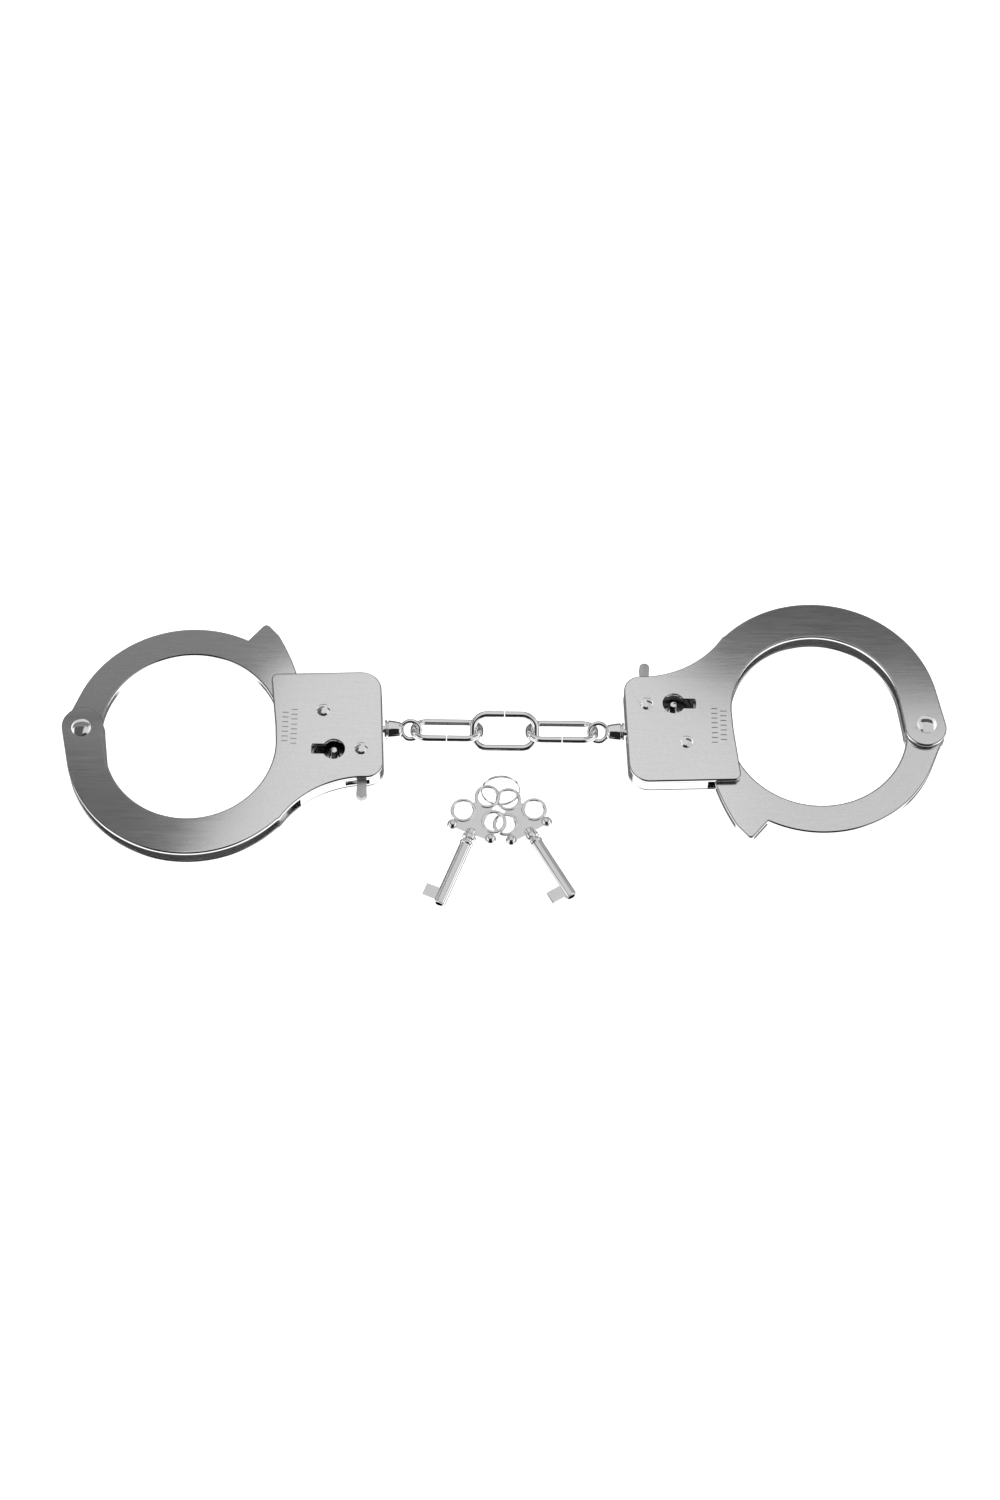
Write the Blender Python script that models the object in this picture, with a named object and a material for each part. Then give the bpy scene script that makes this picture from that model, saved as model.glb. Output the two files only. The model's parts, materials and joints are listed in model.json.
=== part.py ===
"""Pair of nickel-plated handcuffs with a three-link chain, two barrel keys and a split ring.

Units are metres, +Z is up and the origin is on the floor under the middle of the set.
The chain runs along X.  The left cuff lies at -X with its swing arm on the far (+Y) side, and the
right cuff is the same cuff turned half a turn about Z.  A cuff is drawn in its own frame, in
millimetres: the origin is the swing arm's pivot, +X points to the swivel, +Y is the swing arm's side.
"""
import math

import bmesh
import bpy
from mathutils import Matrix, Vector
from mathutils.geometry import tessellate_polygon

MM = 0.001

# ---------------------------------------------------------------- driving dimensions (millimetres)
CHAIN_Y = 7.0            # the chain's line, which puts the origin in the middle of the footprint
PIVOT_X = 131.5          # swing arm pivot to the middle of the chain
SWIVEL_Y = 2.5           # the swivel's axis in the cuff's frame

FOOT = 0.3               # rivet tails stand this far below the bottom cheek
CHEEK_T = 1.5
CHEEK_GAP = 4.2
BOTTOM_Z = FOOT + CHEEK_T                  # inner face of the bottom cheek
TOP_Z = BOTTOM_Z + CHEEK_GAP               # inner face of the top cheek
FACE_Z = TOP_Z + CHEEK_T                   # outer face of the top cheek
MID_Z = BOTTOM_Z + CHEEK_GAP / 2
PLAY = 0.15              # clearance between pieces that touch
BORE_PLAY = 0.08         # clearance round a rivet's shank

BOSS = (0.3, 0.9, 6.5)                     # pivot boss: centre x, centre y, radius
RING_IN = (34.2, -4.4, 26.4)               # wrist side of the double strand
RING_OUT = (34.2, -4.4, 38.6)
NECK = (89.5, -47.2, 31.3)                 # hollow curve from the ring to the lock body
NECK_START_X = 88.0                        # where it leaves the body's low corner
NECK_END = (62.0, -31.2)                   # where it meets the ring
BODY_TOP_LEFT = (58.0, 20.2)
BODY_TOP_RIGHT = (92.6, 21.5)
BODY_LOW_RIGHT = (94.5, -16.2)
BODY_WAIST = (60.2, 2.0)
BODY_CORNERS_R = (2.0, 6.5, 5.2)           # top left, top right, low right

ARM_BOSS = (0.0, 0.3, 6.1)
ARM_OUT = (33.7, -0.7, 37.8)
ARM_IN = (33.8, -0.2, 27.9)
ARM_T = 3.2
ARM_TIP_R = 69.4         # the toothed edge is an arc about the pivot
ARM_TAIL_R = 61.7        # inner edge of the tail that stays inside the body
ARM_TAIL_DEG = -24.0
ARM_NOTCH = (50.3, 33.7)
ARM_BEAK = (55.6, 39.8)
ARM_BEAK_R = 1.4
ARM_EDGE_DEG = (30.5, 14.5)   # plain part of the arc, from the beak to the teeth
ARM_TAIL_INNER_DEG = -18.0
TOOTH_COUNT = 16
TOOTH_PITCH_DEG = 2.2
TOOTH_DEPTH = 0.8
TOOTH_FIRST_DEG = 12.0
TOOTH_FACE_DEG = 0.25    # lean of a tooth's steep side

PAWL_RIVET = (75.0, 7.3)
BODY_RIVET = (87.2, -6.05)
KEYHOLE = (78.7, -6.3)
PAWL_T = 2.4
PAWL_TRAVEL_DEG = 4.0    # from clear of the teeth to fully engaged
PAWL_TEETH = 3
PAWL_TEETH_FIRST = 6     # the arm's tooth that the first pawl tooth drops behind
PAWL_BOSS_R = 2.9
PAWL_TAIL = ((70.9, -14.6), (72.2, -16.4), (79.0, -15.9), (84.0, -14.2))
PAWL_HEEL = ((88.2, -11.4), (85.8, -11.2))
KEY_SWEEP = 6.3          # room for the key's bit round the key post
TAB_X = (86.2, 89.1)
TAB_END_Y = -21.9
TAB_NECK_Y = (-12.6, -14.6, -19.5)   # sides of the tab: from, from (inner side), to

RIVET_SHANK_R = 1.2
RIVET_HEAD_R = 2.05
RIVET_DOME = 0.7
ARM_RIVET_SHANK_R = 1.6
ARM_RIVET_HEAD_R = 3.05
ARM_RIVET_DOME = 0.9

KEYHOLE_R = 3.45
KEYHOLE_SLOT_W = 3.4
KEYHOLE_SLOT_END = 6.9
POST_R = 1.05

WALL_T = 1.4             # lock frame strip
WALL_INSET = 0.1
WALL_H = CHEEK_GAP - 2 * PLAY
FRAME_START = (68.4, 20.59)
FRAME_END = (69.0, -23.4)
TAB_SLOT = (82.6, 90.0)  # window for the release tab in the lock frame
TAB_SLOT_Y = (-22.0, -12.2)
SWIVEL_HOLE_R = 1.35
SWIVEL_HOLE_X = 93.0

SPRING_WIRE_R = 0.32
SPRING_COIL_R = 1.75
SPRING_TURNS = 2.5
SPRING_HALF_H = 0.9
SPRING_WALL_LEG = ((91.0, 0.3), (90.2, -2.6))
SPRING_TAB_LEG = ((89.0, -8.4), (89.75, -12.0))
SPRING_START_DEG = 40.0

EYE_X = 102.2            # centre of the swivel's eye in the cuff's frame
EYE_R = 2.85
EYE_WIRE_R = 0.72
# the swivel's bell and flange outside the cuff, and its stem and upset head inside: radius, x
SWIVEL_BELL = ((1.6, 99.75), (2.3, 99.3), (2.6, 98.5), (2.95, 96.0), (3.0, 95.3), (2.5, 95.1))
SWIVEL_FLANGE = ((2.5, 94.9), (3.1, 94.75), (3.1, 94.2))
SWIVEL_STEM = ((1.15, 94.2), (1.15, 91.7), (1.8, 91.7), (1.8, 90.5))

LINK_WIRE_R = 1.05
LINK_WIDTH = 10.5        # between the wire's centre lines
LINK_CORNER = 4.4
CENTRE_LINK_HALF = 9.8   # half length of the centre line
SIDE_LINK_HALF = 10.34
SIDE_LINK_X = 17.94      # middle of a side link
CENTRE_LINK_TILT = 25.0  # near side down, degrees
SIDE_LINK_TILT = -33.0   # near side up
EYE_TILT = 27.0          # near side down

KEY_LOBES = ((-5.1, 5.5), (5.1, 5.5), (0.0, 12.5))
LOBE_OUT = 3.9
LOBE_IN = 3.0
LOBE_H = 1.5
WEB_T = 0.9
KEY_BALL_X = 6.3
KEY_BALL_R = 1.7
KEY_SHANK_R = 1.85
KEY_BORE_R = 1.25
KEY_TIP_V = -25.5
KEY_BIT_V = (-24.7, -20.7)
KEY_BIT_REACH = 5.9
KEY_BIT_T = 1.6
# middle of the two balls: x and y from the chain's middle, height, turn about Z, bow's rise (degrees)
LEFT_KEY = (-9.7, -35.2, 4.0, -22.1, 4.7)
RIGHT_KEY = (7.9, -33.9, 2.2, 31.0, 0.7)

RING_R = 5.85            # split ring, centre line
RING_WIRE_R = 0.45
RING_CENTRE = (-0.97, -22.03, 6.31)
RING_TILT = (69.6, -2.8)  # near side down, right side up (degrees)

# ---------------------------------------------------------------- plain geometry helpers


def arc(cx, cy, r, a0, a1, steps):
    """Points on a circle from angle a0 to a1 in degrees."""
    angles = [math.radians(a0 + (a1 - a0) * i / steps) for i in range(steps + 1)]
    return [(cx + r * math.cos(a), cy + r * math.sin(a)) for a in angles]


def angle_of(circle, point):
    return math.degrees(math.atan2(point[1] - circle[1], point[0] - circle[0]))


def fillet(before, corner, after, r, steps=5):
    """Round a corner of an outline with radius r."""
    c = Vector(corner)
    u = (Vector(before) - c).normalized()
    v = (Vector(after) - c).normalized()
    half = u.angle(v) / 2
    centre = c + (u + v).normalized() * (r / math.sin(half))
    start = c + u * (r / math.tan(half))
    end = c + v * (r / math.tan(half))
    a0 = math.atan2(start.y - centre.y, start.x - centre.x)
    a1 = math.atan2(end.y - centre.y, end.x - centre.x)
    turn = (a1 - a0 + math.pi) % (2 * math.pi) - math.pi
    return arc(centre.x, centre.y, r, math.degrees(a0), math.degrees(a0 + turn), steps)


def tangent_angle(small, large, side):
    """Angle on both circles where their common outer tangent touches; side is +1 or -1."""
    dx = small[0] - large[0]
    dy = small[1] - large[1]
    spread = math.acos((large[2] - small[2]) / math.hypot(dx, dy))
    return math.degrees(math.atan2(dy, dx) + side * spread)


def turned(points, centre, degrees):
    """Points turned about a centre."""
    c = math.cos(math.radians(degrees))
    s = math.sin(math.radians(degrees))
    out = []
    for x, y in points:
        dx = x - centre[0]
        dy = y - centre[1]
        out.append((centre[0] + c * dx - s * dy, centre[1] + s * dx + c * dy))
    return out


def polar(r, degrees):
    a = math.radians(degrees)
    return (r * math.cos(a), r * math.sin(a))


def hole(centre, r, steps=16):
    return arc(centre[0], centre[1], r, 0, 360, steps)[:-1]


# ---------------------------------------------------------------- solids, made in millimetres


def extruded(outline, holes, z0, z1):
    """A flat plate with holes, from z0 to z1."""
    bm = bmesh.new()
    loops = [outline] + list(holes)
    low = [[bm.verts.new((x, y, z0)) for x, y in loop] for loop in loops]
    high = [[bm.verts.new((x, y, z1)) for x, y in loop] for loop in loops]
    flat_low = [v for loop in low for v in loop]
    flat_high = [v for loop in high for v in loop]
    polygons = [[Vector((x, y, 0)) for x, y in loop] for loop in loops]
    for tri in tessellate_polygon(polygons):
        bm.faces.new([flat_low[i] for i in tri])
        bm.faces.new([flat_high[i] for i in tri])
    for bottom, top in zip(low, high):
        count = len(bottom)
        for i in range(count):
            j = (i + 1) % count
            bm.faces.new((bottom[i], bottom[j], top[j], top[i]))
    bmesh.ops.recalc_face_normals(bm, faces=bm.faces)
    return bm


def lathe(profile, steps=20):
    """A turned piece about Z; the profile is (radius, z) from its top to its bottom."""
    bm = bmesh.new()
    rings = []
    for r, z in profile:
        if r == 0:
            rings.append([bm.verts.new((0, 0, z))])
        else:
            rings.append([bm.verts.new((x, y, z)) for x, y in arc(0, 0, r, 0, 360, steps)[:-1]])
    for upper, lower in zip(rings, rings[1:]):
        join_rings(bm, upper, lower)
    bmesh.ops.recalc_face_normals(bm, faces=bm.faces)
    return bm


def join_rings(bm, upper, lower):
    count = max(len(upper), len(lower))
    for i in range(count):
        j = (i + 1) % count
        if len(upper) == 1:
            bm.faces.new((upper[0], lower[i], lower[j]))
        elif len(lower) == 1:
            bm.faces.new((upper[i], lower[0], upper[j]))
        else:
            bm.faces.new((upper[i], lower[i], lower[j], upper[j]))


def tube(path, r, sides, closed):
    """A round wire along a path of points, closed on itself or capped at both ends."""
    bm = bmesh.new()
    count = len(path)
    points = [Vector(p) for p in path]
    rings = []
    normal = None
    for i, p in enumerate(points):
        before = points[i - 1] if closed or i else p
        after = points[(i + 1) % count] if closed or i < count - 1 else p
        along = (after - before).normalized()
        if normal is None:
            normal = along.orthogonal().normalized()
        normal = (normal - along * normal.dot(along)).normalized()
        side = along.cross(normal)
        ring = []
        for k in range(sides):
            a = 2 * math.pi * (k + 0.5) / sides
            ring.append(bm.verts.new(p + (normal * math.cos(a) + side * math.sin(a)) * r))
        rings.append(ring)
    for i in range(count - (0 if closed else 1)):
        join_rings(bm, rings[i], rings[(i + 1) % count])
    if not closed:
        bm.faces.new(rings[0])
        bm.faces.new(rings[-1])
    bmesh.ops.recalc_face_normals(bm, faces=bm.faces)
    return bm


def ball(r, steps=12, rows=8):
    angles = [math.pi / 2 - math.pi * i / rows for i in range(rows + 1)]
    profile = [(max(0.0, r * math.cos(a)), r * math.sin(a)) for a in angles]
    profile[0] = (0, r)
    profile[-1] = (0, -r)
    return lathe(profile, steps)


def moved(bm, matrix):
    bmesh.ops.transform(bm, matrix=matrix, verts=bm.verts)
    return bm


def shift(x=0.0, y=0.0, z=0.0):
    return Matrix.Translation((x, y, z))


def turn(degrees, axis):
    return Matrix.Rotation(math.radians(degrees), 4, axis)


# ---------------------------------------------------------------- objects and materials


def clear_scene():
    for thing in list(bpy.data.objects):
        bpy.data.objects.remove(thing)


def material(name, colour, roughness, metallic=1.0):
    mat = bpy.data.materials.new(name)
    mat.use_nodes = True
    shader = mat.node_tree.nodes["Principled BSDF"]
    shader.inputs["Base Color"].default_value = (*colour, 1.0)
    shader.inputs["Roughness"].default_value = roughness
    shader.inputs["Metallic"].default_value = metallic
    return mat


def add(name, bm, mat, place, origin=(0.0, 0.0, 0.0)):
    """Make an object from a mesh in the piece's own frame (mm); origin is a point of that frame."""
    mesh = bpy.data.meshes.new(name)
    bmesh.ops.transform(bm, matrix=Matrix.Scale(MM, 4) @ shift(*(-c for c in origin)), verts=bm.verts)
    bm.to_mesh(mesh)
    bm.free()
    mesh.shade_smooth()
    mesh.set_sharp_from_angle(angle=math.radians(35))
    mesh.materials.append(mat)
    thing = bpy.data.objects.new(name, mesh)
    bpy.context.scene.collection.objects.link(thing)
    thing.matrix_world = place @ Matrix.Translation([c * MM for c in origin])
    return thing


def tool(name, bm, place):
    """A hidden shape that a Boolean reads."""
    mesh = bpy.data.meshes.new(name)
    bmesh.ops.transform(bm, matrix=Matrix.Scale(MM, 4), verts=bm.verts)
    bm.to_mesh(mesh)
    bm.free()
    thing = bpy.data.objects.new(name, mesh)
    bpy.context.scene.collection.objects.link(thing)
    thing.matrix_world = place
    thing.hide_render = True
    thing.display_type = "WIRE"
    return thing


def boolean(thing, other, operation):
    mod = thing.modifiers.new(other.name, "BOOLEAN")
    mod.operation = operation
    mod.object = other
    mod.solver = "EXACT"


# ---------------------------------------------------------------- the cuff


def body_corners():
    """Rounded corners of the lock body's outline, from the wrist opening round to the neck."""
    ring_edge = (RING_IN[0] + RING_IN[2], RING_IN[1])
    rise = math.sqrt(NECK[2] ** 2 - (NECK[0] - NECK_START_X) ** 2)
    neck_start = (NECK_START_X, NECK[1] + rise)
    low_right = fillet(BODY_TOP_RIGHT, BODY_LOW_RIGHT, neck_start, BODY_CORNERS_R[2])
    top_right = fillet(BODY_TOP_LEFT, BODY_TOP_RIGHT, BODY_LOW_RIGHT, BODY_CORNERS_R[1])
    top_left = fillet(BODY_WAIST, BODY_TOP_LEFT, BODY_TOP_RIGHT, BODY_CORNERS_R[0])
    return ring_edge, top_left, top_right, low_right, neck_start


def cheek_outline():
    ring_edge, top_left, top_right, low_right, neck_start = body_corners()
    boss_tangent = tangent_angle(BOSS, RING_OUT, 1) % 360
    points = arc(*BOSS, -2, boss_tangent, 14)
    points += arc(*RING_OUT, boss_tangent, 360 + angle_of(RING_OUT, NECK_END), 30)
    points += arc(*NECK, angle_of(NECK, NECK_END), angle_of(NECK, neck_start), 7)
    points += list(reversed(low_right))
    points += list(reversed(top_right))
    points += list(reversed(top_left))
    points += [BODY_WAIST, ring_edge]
    points += arc(*RING_IN, -6, -172, 28)
    return points


def keyhole_outline():
    """Round hole with a slot towards the wrist opening."""
    half = KEYHOLE_SLOT_W / 2
    spread = math.degrees(math.asin(half / KEYHOLE_R))
    x, y = KEYHOLE
    points = arc(x, y, KEYHOLE_R, -180 + spread, 180 - spread, 18)
    points += [(x - KEYHOLE_SLOT_END, y + half), (x - KEYHOLE_SLOT_END, y - half)]
    return points


def make_cheek(name, z0, z1, holes, mat, place):
    return add(name, extruded(cheek_outline(), holes, z0, z1), mat, place)


def frame_outline():
    """The lock frame: a strip inside the outline, from the top edge round to the neck."""
    _, _, top_right, low_right, neck_start = body_corners()
    run = [FRAME_START] + top_right + low_right
    run += arc(*NECK, angle_of(NECK, neck_start), angle_of(NECK, FRAME_END), 6)
    return offset_line(run, -WALL_INSET) + list(reversed(offset_line(run, -WALL_INSET - WALL_T)))


def offset_line(points, distance):
    """An open run of points moved sideways; positive is to the left of its direction."""
    out = []
    for i, point in enumerate(points):
        before = Vector(points[max(i - 1, 0)])
        after = Vector(points[min(i + 1, len(points) - 1)])
        along = (after - before).normalized()
        out.append((point[0] - along.y * distance, point[1] + along.x * distance))
    return out


def box(x0, x1, y0, y1, z0, z1):
    return extruded([(x0, y0), (x1, y0), (x1, y1), (x0, y1)], [], z0, z1)


def make_frame(name, mat, place):
    bm = extruded(frame_outline(), [], MID_Z - WALL_H / 2, MID_Z + WALL_H / 2)
    frame = add(name, bm, mat, place)
    half = PAWL_T / 2 + PLAY
    window = tool(name + ".tab_window", box(*TAB_SLOT, *TAB_SLOT_Y, MID_Z - half, MID_Z + half), place)
    boolean(frame, window, "DIFFERENCE")
    depth = 4
    drill = moved(lathe([(0, depth), (SWIVEL_HOLE_R, depth), (SWIVEL_HOLE_R, -depth), (0, -depth)]),
                  shift(SWIVEL_HOLE_X, SWIVEL_Y, MID_Z) @ turn(90, "Y"))
    boolean(frame, tool(name + ".swivel_hole", drill, place), "DIFFERENCE")
    return frame


def tooth_angle(index):
    return TOOTH_FIRST_DEG - index * TOOTH_PITCH_DEG


def arm_outline():
    boss_tangent = tangent_angle(ARM_BOSS, ARM_OUT, -1)
    points = arc(*ARM_OUT, boss_tangent, angle_of(ARM_OUT, ARM_NOTCH), 20)
    points += fillet(ARM_NOTCH, ARM_BEAK, polar(ARM_TIP_R, ARM_EDGE_DEG[0]), ARM_BEAK_R)
    points += arc(0, 0, ARM_TIP_R, *ARM_EDGE_DEG, 4)
    root = ARM_TIP_R - TOOTH_DEPTH
    for i in range(TOOTH_COUNT):
        points.append(polar(root, tooth_angle(i)))
        points.append(polar(ARM_TIP_R, tooth_angle(i) - TOOTH_FACE_DEG))
    points.append(polar(root, tooth_angle(TOOTH_COUNT)))
    tail_out = polar(ARM_TIP_R - 0.4, ARM_TAIL_DEG)
    tail_in = polar(ARM_TAIL_R, ARM_TAIL_DEG + 1.5)
    points += fillet(points[-1], tail_out, tail_in, 0.7, 3)
    points += fillet(tail_out, tail_in, polar(ARM_TAIL_R, ARM_TAIL_INNER_DEG), 1.6, 4)
    points += arc(0, 0, ARM_TAIL_R, ARM_TAIL_INNER_DEG, 0, 4)
    points += arc(*ARM_IN, 3, 176, 30)
    points += arc(*ARM_BOSS, 2, -180 - (180 - boss_tangent) % 360, 14)
    return points


def make_arm(name, mat, place):
    bore = hole((0, 0), ARM_RIVET_SHANK_R + BORE_PLAY)
    bm = extruded(arm_outline(), [bore], MID_Z - ARM_T / 2, MID_Z + ARM_T / 2)
    return add(name, bm, mat, place, (0, 0, MID_Z))


def make_rivet(name, centre, shank_r, head_r, dome, mat, place):
    """Domed head on the top cheek, plain shank and a flat upset tail under the bottom cheek."""
    head_z = FACE_Z + 0.1
    profile = [(0, head_z + dome)]
    profile += [(head_r * math.sin(a), head_z + dome * math.cos(a)) for a in (0.5, 1.0, 1.35)]
    profile += [(head_r, head_z), (shank_r, head_z), (shank_r, FOOT - 0.1), (head_r * 0.85, FOOT - 0.1)]
    profile += [(head_r * 0.8, 0), (0, 0)]
    bm = moved(lathe(profile), shift(*centre, 0))
    return add(name, bm, mat, place, (*centre, 0))


def make_key_post(name, mat, place):
    profile = [(0, FACE_Z - 0.7), (POST_R - 0.3, FACE_Z - 0.7), (POST_R, FACE_Z - 1.0)]
    profile += [(POST_R, BOTTOM_Z + 0.6), (1.8, BOTTOM_Z + 0.6), (1.8, BOTTOM_Z + 0.1)]
    profile += [(POST_R, BOTTOM_Z + 0.1), (POST_R, FOOT), (0, FOOT)]
    return add(name, moved(lathe(profile, 16), shift(*KEYHOLE, 0)), mat, place, (*KEYHOLE, 0))


def pawl_teeth():
    """Pawl teeth in mesh with the arm's, turned back clear of them about the pawl's rivet."""
    root = ARM_TIP_R + PLAY
    tip = ARM_TIP_R - TOOTH_DEPTH + PLAY
    points = []
    for i in range(PAWL_TEETH):
        start = tooth_angle(PAWL_TEETH_FIRST + i) + 0.12
        points.append(polar(root, start + TOOTH_PITCH_DEG - TOOTH_FACE_DEG))
        points.append(polar(tip, start))
    points.append(polar(root, start - TOOTH_FACE_DEG + 0.02))
    return turned(points, PAWL_RIVET, PAWL_TRAVEL_DEG)


def pawl_outline():
    points = arc(*PAWL_RIVET, PAWL_BOSS_R, -15, 195, 14)
    points += pawl_teeth()
    points += PAWL_TAIL
    points += [(TAB_X[0], TAB_NECK_Y[1]), (TAB_X[0], TAB_NECK_Y[2])]
    middle = (TAB_X[0] + TAB_X[1]) / 2
    tab_r = (TAB_X[1] - TAB_X[0]) / 2 + 0.15
    points += arc(middle, TAB_END_Y + tab_r, tab_r, 180, 360, 8)
    points += [(TAB_X[1], TAB_NECK_Y[2]), (TAB_X[1], TAB_NECK_Y[0])]
    points += PAWL_HEEL
    points += arc(*KEYHOLE, KEY_SWEEP, -38, -206, 14)
    return points


def make_pawl(name, mat, place):
    bore = hole(PAWL_RIVET, RIVET_SHANK_R + BORE_PLAY)
    bm = extruded(pawl_outline(), [bore], MID_Z - PAWL_T / 2, MID_Z + PAWL_T / 2)
    return add(name, bm, mat, place, (*PAWL_RIVET, MID_Z))


def make_spring(name, mat, place):
    """Coil round the body rivet, one leg along the end wall and one against the pawl's tab."""
    x, y = BODY_RIVET
    half = SPRING_HALF_H
    steps = int(SPRING_TURNS * 12)
    path = [(*point, MID_Z + half) for point in SPRING_WALL_LEG]
    for i in range(steps + 1):
        a = math.radians(SPRING_START_DEG - 360 * SPRING_TURNS * i / steps)
        z = MID_Z + half - 2 * half * i / steps
        path.append((x + SPRING_COIL_R * math.cos(a), y + SPRING_COIL_R * math.sin(a), z))
    path += [(*point, MID_Z - half) for point in SPRING_TAB_LEG]
    return add(name, tube(path, SPRING_WIRE_R, 6, False), mat, place)


def make_swivel(name, tilt, mat, place):
    """Turned bell and stem, headed over inside the lock frame, with a tilted eye at the outer end."""
    stem_profile = [(0, SWIVEL_BELL[0][1]), *SWIVEL_BELL, *SWIVEL_FLANGE, *SWIVEL_STEM]
    stem_profile.append((0, SWIVEL_STEM[-1][1]))
    axis = shift(0, SWIVEL_Y, MID_Z) @ turn(90, "Y")
    stem = add(name, moved(lathe(stem_profile, 16), axis), mat, place, (0, SWIVEL_Y, MID_Z))
    ring = [(x, y, 0) for x, y in arc(0, 0, EYE_R, 0, 360, 28)[:-1]]
    eye = moved(tube(ring, EYE_WIRE_R, 10, True), shift(EYE_X, SWIVEL_Y, MID_Z) @ turn(tilt, "X"))
    boolean(stem, tool(name + ".eye", eye, place), "UNION")
    return stem


def make_cuff(side, place, eye_tilt, metals):
    """All the pieces of one cuff."""
    plate, polished, steel = metals
    small_r = RIVET_SHANK_R + BORE_PLAY
    rivet_holes = [hole(PAWL_RIVET, small_r), hole(BODY_RIVET, small_r)]
    rivet_holes.append(hole((0, 0), ARM_RIVET_SHANK_R + BORE_PLAY))
    post_hole = hole(KEYHOLE, POST_R + 0.1)
    make_cheek(side + "_top_cheek", TOP_Z, FACE_Z, rivet_holes + [keyhole_outline()], plate, place)
    make_cheek(side + "_bottom_cheek", FOOT, BOTTOM_Z, rivet_holes + [post_hole], plate, place)
    make_frame(side + "_lock_frame", polished, place)
    make_arm(side + "_swing_arm", plate, place)
    make_rivet(side + "_arm_rivet", (0.0, 0.0), ARM_RIVET_SHANK_R, ARM_RIVET_HEAD_R, ARM_RIVET_DOME,
               polished, place)
    make_rivet(side + "_pawl_rivet", PAWL_RIVET, RIVET_SHANK_R, RIVET_HEAD_R, RIVET_DOME, polished, place)
    make_rivet(side + "_body_rivet", BODY_RIVET, RIVET_SHANK_R, RIVET_HEAD_R, RIVET_DOME, polished, place)
    make_key_post(side + "_key_post", steel, place)
    make_pawl(side + "_pawl", steel, place)
    make_spring(side + "_pawl_spring", steel, place)
    make_swivel(side + "_swivel", eye_tilt, polished, place)


# ---------------------------------------------------------------- the chain


def link_path(half):
    """Centre line of a link: long in X, rounded at both ends."""
    x = half - LINK_CORNER
    y = LINK_WIDTH / 2 - LINK_CORNER
    points = arc(x, y, LINK_CORNER, 0, 90, 5) + arc(-x, y, LINK_CORNER, 90, 180, 5)
    points += arc(-x, -y, LINK_CORNER, 180, 270, 5) + arc(x, -y, LINK_CORNER, 270, 360, 5)
    return [(px, py, 0) for px, py in points]


def make_link(name, x, half, tilt, mat):
    place = Matrix.Translation((x * MM, CHAIN_Y * MM, MID_Z * MM)) @ turn(tilt, "X")
    return add(name, tube(link_path(half), LINK_WIRE_R, 10, True), mat, place)


# ---------------------------------------------------------------- keys and their ring


def web_outline():
    """Thin plate between the bow's three lobes and its bottom bar."""
    return [(-6.3, -0.7), (6.3, -0.7), (6.6, 1.4), (5.6, 5.5), (1.6, 10.4), (0, 11.6),
            (-1.6, 10.4), (-5.6, 5.5), (-6.6, 1.4)]


def make_key(name, mat, where):
    """Barrel key; its frame has v (+Y) along the shank towards the bow and u (+X) across."""
    x, y, z, spin, rise = where
    place = Matrix.Translation((x * MM, (CHAIN_Y + y) * MM, z * MM)) @ turn(spin, "Z") @ turn(rise, "X")
    web = extruded(web_outline(), [], -WEB_T / 2, WEB_T / 2)
    key = add(name, web, mat, place)
    for i, lobe in enumerate(KEY_LOBES):
        rim = extruded(hole(lobe, LOBE_OUT, 20), [], -LOBE_H / 2, LOBE_H / 2)
        boolean(key, tool(f"{name}.rim{i}", rim, place), "UNION")
    for i, lobe in enumerate(KEY_LOBES):
        eye = extruded(hole(lobe, LOBE_IN, 20), [], -LOBE_H, LOBE_H)
        boolean(key, tool(f"{name}.eye{i}", eye, place), "DIFFERENCE")
    for i, bx in enumerate((-KEY_BALL_X, KEY_BALL_X)):
        knob = moved(ball(KEY_BALL_R, 10, 6), shift(bx, 0, 0))
        boolean(key, tool(f"{name}.ball{i}", knob, place), "UNION")
    profile = [(0, 0.6), (1.6, 0.6), (1.6, -0.9), (2.1, -1.3), (2.1, -2.6), (1.6, -3.0), (1.6, -3.4)]
    profile += [(2.1, -3.8), (2.1, -4.4), (KEY_SHANK_R, -4.6), (KEY_SHANK_R, KEY_TIP_V)]
    profile += [(KEY_BORE_R, KEY_TIP_V), (KEY_BORE_R, KEY_TIP_V + 9), (0, KEY_TIP_V + 9)]
    shank = moved(lathe(profile, 16), turn(-90, "X"))
    boolean(key, tool(name + ".shank", shank, place), "UNION")
    bit = box(-KEY_BIT_REACH, -KEY_SHANK_R + 0.3, *KEY_BIT_V, -KEY_BIT_T / 2, KEY_BIT_T / 2)
    boolean(key, tool(name + ".bit", bit, place), "UNION")
    return key


def make_key_ring(name, mat):
    x, y, z = RING_CENTRE
    place = Matrix.Translation((x * MM, (CHAIN_Y + y) * MM, z * MM))
    place = place @ turn(RING_TILT[0], "X") @ turn(-RING_TILT[1], "Y")
    ring = [(px, py, 0) for px, py in arc(0, 0, RING_R, 0, 360, 32)[:-1]]
    return add(name, tube(ring, RING_WIRE_R, 8, True), mat, place)


# ---------------------------------------------------------------- assembly


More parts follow.
